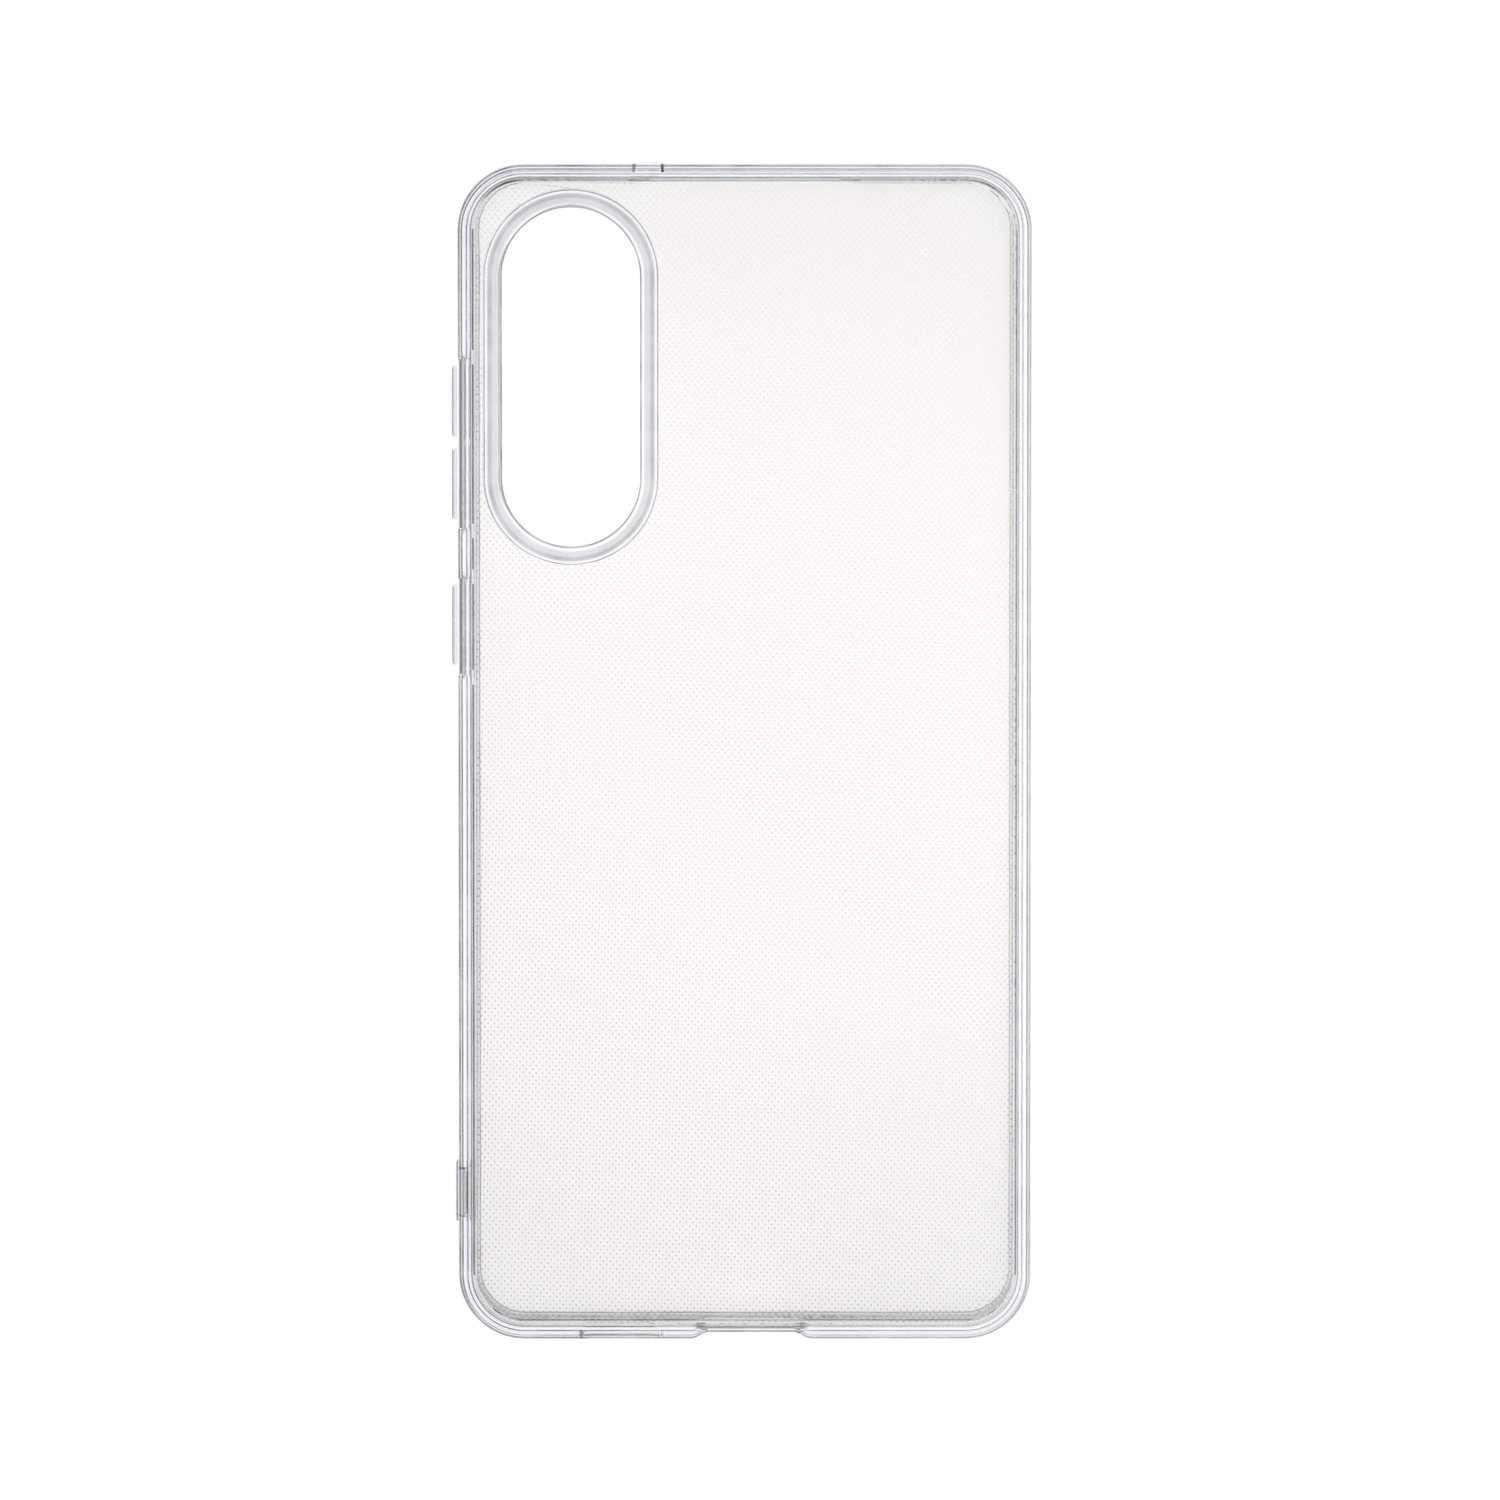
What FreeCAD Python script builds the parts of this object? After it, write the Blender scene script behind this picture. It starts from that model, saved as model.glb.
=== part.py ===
# A clear protective case for a flat phone, in millimetres.
#
# The case lies with the rim of its open front on z = 0 and its back facing +Z.
# The origin is the middle of the case's outline. +Y runs to the phone's top end,
# and the side buttons are on the -X side.
import FreeCAD, Part
import Sketcher
import math
import os
import re

# Driving dimensions: alias, millimetres, meaning.
DRIVING_DIMENSIONS = [
    ("phone_width", 77.5, "width of the phone that the case fits"),
    ("phone_length", 162.2, "length of the phone"),
    ("phone_depth", 7.4, "thickness of the phone"),
    ("phone_gap", 0.15, "clearance round the phone, each side"),
    ("wall_thickness", 1.3, "side wall of the bumper"),
    ("back_thickness", 1.0, "back plate"),
    ("lip_thickness", 0.9, "front lip, along Z"),
    ("lip_overhang", 1.75, "how far the lip reaches in over the screen's edge"),
    ("pocket_corner", 8.0, "corner radius of the phone pocket, in plan"),
    ("back_rounding", 1.6, "rounding of the outer back edge"),
    ("front_rounding", 0.6, "rounding of the outer front edge"),
    ("pocket_rounding", 0.8, "rounding between the pocket's wall and its back"),
    ("lip_rounding", 0.4, "rounding of the lip's inner front edge"),
    ("flange_width", 1.2, "bumper's back flange, which frames the back plate"),
    ("tongue_reach", 0.5, "tongues along the back plate's two edges, past their faces"),
    ("tongue_thickness", 0.4, "tongues, along Z"),
    ("relief_length", 30.9, "earpiece relief in the top lip"),
    ("relief_depth", 0.5, "how far the relief sets the lip's edge back"),
    ("relief_corner", 0.45, "corner radius of the relief"),
    ("camera_width", 19.2, "camera opening, across"),
    ("camera_length", 47.3, "camera opening, along"),
    ("camera_side_margin", 4.9, "phone's -X edge to the camera opening"),
    ("camera_top_margin", 4.65, "phone's top edge to the camera opening"),
    ("ring_width", 2.65, "camera ring, seen from the back"),
    ("ring_height", 1.5, "camera ring above the back plate"),
    ("ring_rounding", 1.1, "rounding of the ring's two crest edges"),
    ("volume_up_from_top", 31.9, "phone's top edge to the middle of the volume up pad"),
    ("volume_down_from_top", 43.5, "phone's top edge to the middle of the volume down pad"),
    ("power_from_top", 63.3, "phone's top edge to the middle of the power pad"),
    ("volume_pad_length", 10.15, "each volume pad, along the side"),
    ("power_pad_length", 11.5, "power pad, along the side"),
    ("pad_height", 3.0, "each pad, along Z"),
    ("pad_corner", 1.0, "corner radius of a pad, seen from the side"),
    ("pad_proud", 0.85, "how far a pad stands out of the wall"),
    ("pad_rounding", 0.5, "rounding of a pad's outer edges"),
    ("pad_clearance", 0.06, "sliding gap round a pad in its web"),
    ("pad_flange", 0.4, "how far a pad's inner flange laps its window"),
    ("flange_thickness", 0.25, "pad's inner flange"),
    ("flange_gap", 0.05, "flange to web with the pad at rest"),
    ("web_thickness", 0.45, "thin wall round the pads"),
    ("web_recess", 0.1, "web's outer face behind the wall's"),
    ("web_margin", 1.3, "web beyond the pads' ends"),
    ("web_height", 5.0, "web, along Z"),
    ("web_corner", 1.2, "corner radius of a web"),
    ("strap_from_bottom", 19.25, "phone's bottom edge to the middle of the strap bar"),
    ("strap_window_length", 7.1, "window behind the strap bar, along the side"),
    ("strap_window_margin", 0.75, "pocket's front and back to the strap window"),
    ("strap_window_corner", 0.8, "corner radius of the strap window"),
    ("strap_bar_length", 8.7, "strap bar, along the side"),
    ("strap_bar_height", 2.6, "strap bar, along Z"),
    ("strap_bar_corner", 0.6, "corner radius of the bar, seen from the side"),
    ("strap_bar_seat", 0.5, "how deep the bar's ends are seated in the wall"),
    ("strap_bar_proud", 0.42, "how far the bar stands out of the wall"),
    ("strap_bar_rounding", 0.3, "rounding of the bar's outer edges"),
    ("port_offset", 0.9, "charging port from the middle, towards +X"),
    ("port_length", 12.6, "charging port opening, along the end wall"),
    ("port_margin", 0.95, "pocket's front and back to the port opening"),
    ("port_corner", 1.5, "corner radius of the port opening"),
    ("scoop_length", 16.1, "scoop in the end wall round the port, at the wall's face"),
    ("scoop_floor_length", 13.3, "scoop, at its floor"),
    ("scoop_wall", 0.3, "wall left between the scoop's floor and the pocket"),
    ("speaker_offset", 17.4, "speaker slot from the middle, towards -X"),
    ("speaker_length", 11.9, "speaker slot, along the end wall"),
    ("speaker_height", 3.2, "speaker slot, along Z"),
    ("mic_offset", 13.5, "microphone slot from the middle, towards -X"),
    ("mic_length", 4.5, "microphone slot, along the end wall"),
    ("mic_height", 1.8, "microphone slot, along Z"),
    ("cut_margin", 0.5, "how far a cut runs past the faces that it opens"),
]

# Sizes and places worked out from the driving dimensions.
POCKET_WIDTH = "(phone_width + 2 * phone_gap)"
POCKET_LENGTH = "(phone_length + 2 * phone_gap)"
POCKET_DEPTH = "(phone_depth + phone_gap)"
CASE_WIDTH = f"({POCKET_WIDTH} + 2 * wall_thickness)"
CASE_LENGTH = f"({POCKET_LENGTH} + 2 * wall_thickness)"
CASE_CORNER = "(pocket_corner + wall_thickness)"
POCKET_TOP = f"(lip_thickness + {POCKET_DEPTH})"
BACK_FACE = f"({POCKET_TOP} + back_thickness)"
MID_HEIGHT = f"(lip_thickness + {POCKET_DEPTH} / 2)"
PLATE_WIDTH = f"({CASE_WIDTH} - 2 * flange_width - 2 * wall_thickness)"
PLATE_LENGTH = f"({CASE_LENGTH} - 2 * flange_width - 2 * wall_thickness)"
PLATE_CORNER = "(pocket_corner - flange_width)"
TONGUE_SHOULDER = "((back_thickness - tongue_thickness) / 2)"
TONGUE_BASE = f"({POCKET_TOP} + {TONGUE_SHOULDER})"
CAMERA_X = "(-phone_width / 2 + camera_side_margin + camera_width / 2)"
CAMERA_Y = "(phone_length / 2 - camera_top_margin - camera_length / 2)"
RING_OUTER_WIDTH = "(camera_width + 2 * ring_width)"
RING_OUTER_LENGTH = "(camera_length + 2 * ring_width)"
VOLUME_UP_Y = "(phone_length / 2 - volume_up_from_top)"
VOLUME_DOWN_Y = "(phone_length / 2 - volume_down_from_top)"
POWER_Y = "(phone_length / 2 - power_from_top)"
VOLUME_WEB_Y = f"(({VOLUME_UP_Y} + {VOLUME_DOWN_Y}) / 2)"
VOLUME_WEB_LENGTH = f"({VOLUME_UP_Y} - {VOLUME_DOWN_Y} + volume_pad_length + 2 * web_margin)"
POWER_WEB_LENGTH = "(power_pad_length + 2 * web_margin)"
WEB_INNER_FACE = f"(-{CASE_WIDTH} / 2 + web_recess + web_thickness)"
STRAP_Y = "(-phone_length / 2 + strap_from_bottom)"
STRAP_WINDOW_HEIGHT = f"({POCKET_DEPTH} - 2 * strap_window_margin)"
PORT_HEIGHT = f"({POCKET_DEPTH} - 2 * port_margin)"
SCOOP_DEPTH = "(wall_thickness - scoop_wall)"
THROUGH_WALL = "(wall_thickness + 2 * cut_margin)"


def expression(text):
    """The text with each dimension's name turned into a reference to its cell."""
    return re.sub(r"\b([a-z]+(?:_[a-z]+)+)\b", r"Sizes.\1", text)


def number(text):
    """The value of an expression in millimetres."""
    return float(sheet.evalExpression(expression(text)))


def bind(item, field, text):
    """Tie one property of an object to the sheet."""
    item.setExpression(field, expression(text))


def make_sheet():
    """The spreadsheet of driving dimensions."""
    result = document.addObject("Spreadsheet::Sheet", "Sizes")
    for row, (alias, value, meaning) in enumerate(DRIVING_DIMENSIONS, start=1):
        result.set(f"A{row}", meaning)
        result.set(f"B{row}", str(value))
        result.setAlias(f"B{row}", alias)
    document.recompute()
    return result


def make_body(name):
    """An empty body whose label is its node's name."""
    body = document.addObject("PartDesign::Body", name)
    body.Label = name
    return body


def make_sketch(body, name, plane, shift):
    """A sketch on one of the body's own planes, moved by the three texts in shift."""
    sketch = body.newObject("Sketcher::SketchObject", f"{body.Name}_{name}")
    support = [item for item in body.Origin.OriginFeatures if item.Role == plane]
    sketch.AttachmentSupport = [(support[0], "")]
    sketch.MapMode = "FlatFace"
    for axis, text in zip("xyz", shift):
        bind(sketch, f"AttachmentOffset.Base.{axis}", text)
    return sketch


def constrain(sketch, name, text, kind, *places):
    """A named dimension of a sketch, tied to the sheet."""
    index = sketch.addConstraint(Sketcher.Constraint(kind, *places, number(text)))
    sketch.renameConstraint(index, name)
    bind(sketch, f"Constraints.{name}", text)


def line(x0, y0, x1, y1):
    """A straight sketch edge."""
    return Part.LineSegment(FreeCAD.Vector(x0, y0, 0), FreeCAD.Vector(x1, y1, 0))


def arc(x, y, radius, first_quarter, quarters):
    """A sketch arc that starts at a number of quarter turns and covers some more."""
    circle = Part.Circle(FreeCAD.Vector(x, y, 0), FreeCAD.Vector(0, 0, 1), radius)
    start = first_quarter * math.pi / 2
    return Part.ArcOfCircle(circle, start, start + quarters * math.pi / 2)


def join_smoothly(sketch, count):
    """Make each of the sketch's edges run on smoothly into the next."""
    for edge in range(count):
        following = (edge + 1) % count
        sketch.addConstraint(Sketcher.Constraint("Tangent", edge, 2, following, 1))


def draw_rounded_rectangle(sketch, width, length, corner):
    """A rounded rectangle centred on the sketch: width along its x, length along its y."""
    x = number(width) / 2
    y = number(length) / 2
    r = number(corner)
    sketch.addGeometry([
        line(r - x, -y, x - r, -y),
        arc(x - r, r - y, r, 3, 1),
        line(x, r - y, x, y - r),
        arc(x - r, y - r, r, 0, 1),
        line(x - r, y, r - x, y),
        arc(r - x, y - r, r, 1, 1),
        line(-x, y - r, -x, r - y),
        arc(r - x, r - y, r, 2, 1),
    ], False)
    join_smoothly(sketch, 8)
    for edge, kind in ((0, "Horizontal"), (2, "Vertical"), (4, "Horizontal"), (6, "Vertical")):
        sketch.addConstraint(Sketcher.Constraint(kind, edge))
    for other in (3, 5, 7):
        sketch.addConstraint(Sketcher.Constraint("Equal", 1, other))
    sketch.addConstraint(Sketcher.Constraint("Symmetric", 1, 3, 5, 3, -1, 1))
    constrain(sketch, "corner", corner, "Radius", 1)
    constrain(sketch, "width", width, "DistanceX", 6, 1, 2, 1)
    constrain(sketch, "length", length, "DistanceY", 0, 1, 4, 1)


def draw_slot(sketch, length, width, upright=False):
    """A slot with round ends centred on the sketch, along its y if upright, else its x."""
    r = number(width) / 2
    reach = number(length) / 2 - r
    if upright:
        edges = [line(r, -reach, r, reach), arc(0, reach, r, 0, 2),
                 line(-r, reach, -r, -reach), arc(0, -reach, r, 2, 2)]
    else:
        edges = [line(-reach, -r, reach, -r), arc(reach, 0, r, 3, 2),
                 line(reach, r, -reach, r), arc(-reach, 0, r, 1, 2)]
    sketch.addGeometry(edges, False)
    join_smoothly(sketch, 4)
    sketch.addConstraint(Sketcher.Constraint("Vertical" if upright else "Horizontal", 0))
    sketch.addConstraint(Sketcher.Constraint("Equal", 1, 3))
    sketch.addConstraint(Sketcher.Constraint("Symmetric", 1, 3, 3, 3, -1, 1))
    constrain(sketch, "radius", f"{width} / 2", "Radius", 1)
    constrain(sketch, "reach", f"{length} - {width}", "Distance", 1, 3, 3, 3)


def draw_scoop(sketch):
    """The scoop's outline: its floor at +y, its mouth as far out at -y, sides sloped."""
    depth = number(SCOOP_DEPTH)
    floor = number("scoop_floor_length") / 2
    mouth = number("2 * scoop_length - scoop_floor_length") / 2
    sketch.addGeometry([
        line(-mouth, -depth, mouth, -depth),
        line(mouth, -depth, floor, depth),
        line(floor, depth, -floor, depth),
        line(-floor, depth, -mouth, -depth),
    ], False)
    for edge in range(4):
        sketch.addConstraint(Sketcher.Constraint("Coincident", edge, 2, (edge + 1) % 4, 1))
    for edge in (0, 2):
        sketch.addConstraint(Sketcher.Constraint("Symmetric", edge, 1, edge, 2, -2))
    constrain(sketch, "mouth", "2 * scoop_length - scoop_floor_length", "DistanceX", 0, 1, 0, 2)
    constrain(sketch, "floor", "scoop_floor_length", "DistanceX", 2, 2, 2, 1)
    constrain(sketch, "outward", SCOOP_DEPTH, "DistanceY", 0, 1, -1, 1)
    constrain(sketch, "inward", SCOOP_DEPTH, "DistanceY", -1, 1, 2, 1)


def add(body, sketch, length, reverse=False):
    """Pad a sketch along its normal, or against it in reverse."""
    pad = body.newObject("PartDesign::Pad", f"{sketch.Name}_pad")
    pad.Profile = sketch
    pad.Reversed = reverse
    bind(pad, "Length", length)
    document.recompute()
    return pad


def cut(body, sketch, length):
    """Cut a sketch into the body along the sketch's normal, and test that it cuts."""
    before = body.Shape.Volume
    pocket = body.newObject("PartDesign::Pocket", f"{sketch.Name}_cut")
    pocket.Profile = sketch
    pocket.Reversed = True
    bind(pocket, "Length", length)
    document.recompute()
    if not body.Shape.Volume < before:
        raise RuntimeError(f"{sketch.Name} removes nothing")


def round_edges(body, name, radius, wanted):
    """Round the edges of the body's last feature whose vertices all pass wanted()."""
    base = body.Tip
    names = []
    for index, edge in enumerate(base.Shape.Edges, start=1):
        if all(wanted(vertex.Point) for vertex in edge.Vertexes):
            names.append(f"Edge{index}")
    fillet = body.newObject("PartDesign::Fillet", f"{body.Name}_{name}")
    fillet.Base = (base, names)
    bind(fillet, "Radius", radius)
    document.recompute()


def at_height(height):
    """A test for points at one height."""
    level = number(height)
    return lambda point: abs(point.z - level) < TOLERANCE


def at_side(place):
    """A test for points at one distance along X."""
    level = number(place)
    return lambda point: abs(point.x - level) < TOLERANCE


def on_lip_opening():
    """A test for points of the lip opening's edge on the rim's plane."""
    on_rim = at_height("0")
    half_width = number(f"{POCKET_WIDTH} / 2")
    half_length = number(f"{POCKET_LENGTH} / 2")
    return lambda point: (on_rim(point) and abs(point.x) < half_width
                          and abs(point.y) < half_length)


def cut_port_scoop(body):
    """The scoop that lets a thick plug reach the port, through the body's whole height."""
    shift = ("port_offset", f"-{CASE_LENGTH} / 2", "-cut_margin")
    sketch = make_sketch(body, "scoop", "XY_Plane", shift)
    draw_scoop(sketch)
    cut(body, sketch, f"{BACK_FACE} + 2 * cut_margin")


def cut_side_window(body, name, centre_y, length, height, corner, depth):
    """A rounded window from outside the -X wall's face to a depth behind that face."""
    shift = (centre_y, MID_HEIGHT, f"-{CASE_WIDTH} / 2 - cut_margin")
    sketch = make_sketch(body, name, "YZ_Plane", shift)
    draw_rounded_rectangle(sketch, length, height, corner)
    cut(body, sketch, f"{depth} + cut_margin")


def end_slot_sketch(body, name, centre_x, wall_face):
    """A sketch on an end wall: its normal is -Y and it starts past the wall_face given."""
    shift = (centre_x, MID_HEIGHT, f"-({wall_face}) - cut_margin")
    return make_sketch(body, name, "XZ_Plane", shift)


def bumper_frame():
    """The soft side wall all round the phone, with the flange that frames the back."""
    body = make_body("bumper_frame")
    outline = make_sketch(body, "outline", "XY_Plane", ("0", "0", "lip_thickness"))
    draw_rounded_rectangle(outline, CASE_WIDTH, CASE_LENGTH, CASE_CORNER)
    add(body, outline, f"{BACK_FACE} - lip_thickness")
    round_edges(body, "back_edge", "back_rounding", at_height(BACK_FACE))

    pocket = make_sketch(body, "pocket", "XY_Plane", ("0", "0", "lip_thickness"))
    draw_rounded_rectangle(pocket, POCKET_WIDTH, POCKET_LENGTH, "pocket_corner")
    cut(body, pocket, POCKET_DEPTH)
    round_edges(body, "pocket_edge", "pocket_rounding", at_height(POCKET_TOP))

    plate = make_sketch(body, "plate_seat", "XY_Plane", ("0", "0", f"{POCKET_TOP} - cut_margin"))
    draw_rounded_rectangle(plate, PLATE_WIDTH, PLATE_LENGTH, PLATE_CORNER)
    cut(body, plate, "back_thickness + 2 * cut_margin")
    groove = make_sketch(body, "tongue_groove", "XY_Plane", ("0", "0", TONGUE_BASE))
    draw_rounded_rectangle(groove, f"{PLATE_WIDTH} + 2 * tongue_reach",
                           f"{PLATE_LENGTH} + 2 * tongue_reach", f"{PLATE_CORNER} + tongue_reach")
    cut(body, groove, "tongue_thickness")

    cut_side_window(body, "volume_window", VOLUME_WEB_Y, VOLUME_WEB_LENGTH, "web_height",
                    "web_corner", "wall_thickness + cut_margin")
    cut_side_window(body, "power_window", POWER_Y, POWER_WEB_LENGTH, "web_height",
                    "web_corner", "wall_thickness + cut_margin")
    cut_side_window(body, "strap_window", STRAP_Y, "strap_window_length", STRAP_WINDOW_HEIGHT,
                    "strap_window_corner", "wall_thickness + cut_margin")
    cut_side_window(body, "strap_seat", STRAP_Y, "strap_bar_length", "strap_bar_height",
                    "strap_bar_corner", "strap_bar_seat")

    cut_port_scoop(body)
    port = end_slot_sketch(body, "port", "port_offset", f"-{POCKET_LENGTH} / 2")
    draw_rounded_rectangle(port, "port_length", PORT_HEIGHT, "port_corner")
    cut(body, port, THROUGH_WALL)
    speaker = end_slot_sketch(body, "speaker", "-speaker_offset", f"-{POCKET_LENGTH} / 2")
    draw_slot(speaker, "speaker_length", "speaker_height")
    cut(body, speaker, THROUGH_WALL)
    mic = end_slot_sketch(body, "mic", "-mic_offset", f"{CASE_LENGTH} / 2")
    draw_slot(mic, "mic_length", "mic_height")
    cut(body, mic, THROUGH_WALL)
    return body


def screen_lip():
    """The raised rim in front of the side wall, which holds the phone in."""
    body = make_body("screen_lip")
    outline = make_sketch(body, "outline", "XY_Plane", ("0", "0", "0"))
    draw_rounded_rectangle(outline, CASE_WIDTH, CASE_LENGTH, CASE_CORNER)
    add(body, outline, "lip_thickness")
    round_edges(body, "front_edge", "front_rounding", at_height("0"))

    opening = make_sketch(body, "opening", "XY_Plane", ("0", "0", "-cut_margin"))
    draw_rounded_rectangle(opening, f"{POCKET_WIDTH} - 2 * lip_overhang",
                           f"{POCKET_LENGTH} - 2 * lip_overhang", "pocket_corner - lip_overhang")
    cut(body, opening, "lip_thickness + 2 * cut_margin")
    round_edges(body, "inner_edge", "lip_rounding", on_lip_opening())

    relief_middle = f"{POCKET_LENGTH} / 2 - lip_overhang"
    relief = make_sketch(body, "relief", "XY_Plane", ("0", relief_middle, "-cut_margin"))
    draw_rounded_rectangle(relief, "relief_length", "2 * relief_depth", "relief_corner")
    cut(body, relief, "lip_thickness + 2 * cut_margin")
    cut_port_scoop(body)
    return body


def camera_slot_sketch(body, name, base, length, width):
    """An upright slot on the camera opening's middle, at one height."""
    sketch = make_sketch(body, name, "XY_Plane", (CAMERA_X, CAMERA_Y, base))
    draw_slot(sketch, length, width, upright=True)
    return sketch


def back_plate():
    """The stiff flat back, with a tongue along its outer edge and along its window's edge."""
    body = make_body("back_plate")
    outline = make_sketch(body, "outline", "XY_Plane", ("0", "0", POCKET_TOP))
    draw_rounded_rectangle(outline, PLATE_WIDTH, PLATE_LENGTH, PLATE_CORNER)
    add(body, outline, "back_thickness")
    tongue = make_sketch(body, "tongue", "XY_Plane", ("0", "0", TONGUE_BASE))
    draw_rounded_rectangle(tongue, f"{PLATE_WIDTH} + 2 * tongue_reach",
                           f"{PLATE_LENGTH} + 2 * tongue_reach", f"{PLATE_CORNER} + tongue_reach")
    add(body, tongue, "tongue_thickness")

    window = camera_slot_sketch(body, "window", f"{POCKET_TOP} - cut_margin",
                                f"({RING_OUTER_LENGTH} - 2 * tongue_reach)",
                                f"({RING_OUTER_WIDTH} - 2 * tongue_reach)")
    cut(body, window, "back_thickness + 2 * cut_margin")
    inner_step = camera_slot_sketch(body, "inner_step", f"{POCKET_TOP} - cut_margin",
                                    RING_OUTER_LENGTH, RING_OUTER_WIDTH)
    cut(body, inner_step, f"{TONGUE_SHOULDER} + cut_margin")
    outer_step = camera_slot_sketch(body, "outer_step", f"{TONGUE_BASE} + tongue_thickness",
                                    RING_OUTER_LENGTH, RING_OUTER_WIDTH)
    cut(body, outer_step, f"{TONGUE_SHOULDER} + cut_margin")
    return body


def camera_ring():
    """The soft ring round the cameras: it fills the plate's window and stands up as a bead."""
    body = make_body("camera_ring")
    foot = camera_slot_sketch(body, "foot", POCKET_TOP, RING_OUTER_LENGTH, RING_OUTER_WIDTH)
    add(body, foot, TONGUE_SHOULDER)
    waist = camera_slot_sketch(body, "waist", TONGUE_BASE,
                               f"({RING_OUTER_LENGTH} - 2 * tongue_reach)",
                               f"({RING_OUTER_WIDTH} - 2 * tongue_reach)")
    add(body, waist, "tongue_thickness")
    bead = camera_slot_sketch(body, "bead", f"{TONGUE_BASE} + tongue_thickness",
                              RING_OUTER_LENGTH, RING_OUTER_WIDTH)
    add(body, bead, f"{TONGUE_SHOULDER} + ring_height")
    opening = camera_slot_sketch(body, "opening", f"{POCKET_TOP} - cut_margin",
                                 "camera_length", "camera_width")
    cut(body, opening, "back_thickness + ring_height + 2 * cut_margin")
    round_edges(body, "crest", "min(ring_rounding; 0.45 * ring_width)",
                at_height(f"{BACK_FACE} + ring_height"))
    return body


def button_pad(name, centre_y, length):
    """A pad that slides in its web's window, with a flange behind the web."""
    body = make_body(name)
    inner_face = f"{WEB_INNER_FACE} + flange_gap + flange_thickness"
    shift = (centre_y, MID_HEIGHT, inner_face)
    flange = make_sketch(body, "flange", "YZ_Plane", shift)
    draw_rounded_rectangle(flange, f"{length} + 2 * pad_flange", "pad_height + 2 * pad_flange",
                           "pad_corner + pad_flange")
    add(body, flange, "flange_thickness", reverse=True)
    pad = make_sketch(body, "pad", "YZ_Plane", shift)
    draw_rounded_rectangle(pad, length, "pad_height", "pad_corner")
    add(body, pad, "flange_thickness + flange_gap + web_thickness + web_recess + pad_proud",
        reverse=True)
    round_edges(body, "outer_edge", "pad_rounding", at_side(f"-{CASE_WIDTH} / 2 - pad_proud"))
    return body


def button_web(name, centre_y, web_length, pads):
    """The thin wall round one or two pads; pads lists each pad's middle and length."""
    body = make_body(name)
    outline = make_sketch(body, "outline", "YZ_Plane", (centre_y, MID_HEIGHT, WEB_INNER_FACE))
    draw_rounded_rectangle(outline, web_length, "web_height", "web_corner")
    add(body, outline, "web_thickness", reverse=True)
    for index, (pad_y, pad_length) in enumerate(pads):
        cut_side_window(body, f"window_{index}", pad_y, f"{pad_length} + 2 * pad_clearance",
                        "pad_height + 2 * pad_clearance", "pad_corner + pad_clearance",
                        "wall_thickness")
    return body


def strap_bar():
    """The bar across the strap window, seated in the wall at both ends."""
    body = make_body("strap_bar")
    shift = (STRAP_Y, MID_HEIGHT, f"-{CASE_WIDTH} / 2 + strap_bar_seat")
    outline = make_sketch(body, "outline", "YZ_Plane", shift)
    draw_rounded_rectangle(outline, "strap_bar_length", "strap_bar_height", "strap_bar_corner")
    add(body, outline, "strap_bar_seat + strap_bar_proud", reverse=True)
    round_edges(body, "outer_edge", "strap_bar_rounding",
                at_side(f"-{CASE_WIDTH} / 2 - strap_bar_proud"))
    return body


def check_and_write(bodies):
    """Stop on any failed object, then write one STEP file for each body."""
    failed = [item.Name for item in document.Objects
              if "Invalid" in item.State or "Error" in item.State]
    if failed:
        raise RuntimeError(f"failed objects: {failed}")
    for body in bodies:
        if body.Shape.isNull() or not body.Shape.isValid():
            raise RuntimeError(f"{body.Label} has no valid shape")
    os.makedirs("parts", exist_ok=True)
    for body in bodies:
        body.Shape.exportStep(f"parts/{body.Label}.step")
        box = body.Shape.BoundBox
        print(f"{body.Label}: {len(body.Shape.Solids)} solid, {body.Shape.Volume:.2f} mm3, "
              f"x {box.XMin:.2f} {box.XMax:.2f}, y {box.YMin:.2f} {box.YMax:.2f}, "
              f"z {box.ZMin:.2f} {box.ZMax:.2f}")


TOLERANCE = 1e-4
document = FreeCAD.newDocument("phone_case")
sheet = make_sheet()
volume_pads = [(VOLUME_UP_Y, "volume_pad_length"), (VOLUME_DOWN_Y, "volume_pad_length")]
all_bodies = [
    back_plate(),
    bumper_frame(),
    screen_lip(),
    camera_ring(),
    button_web("volume_button_web", VOLUME_WEB_Y, VOLUME_WEB_LENGTH, volume_pads),
    button_web("power_button_web", POWER_Y, POWER_WEB_LENGTH, [(POWER_Y, "power_pad_length")]),
    button_pad("volume_up_button", VOLUME_UP_Y, "volume_pad_length"),
    button_pad("volume_down_button", VOLUME_DOWN_Y, "volume_pad_length"),
    button_pad("power_button", POWER_Y, "power_pad_length"),
    strap_bar(),
]
document.recompute()
check_and_write(all_bodies)
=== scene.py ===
import math

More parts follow.
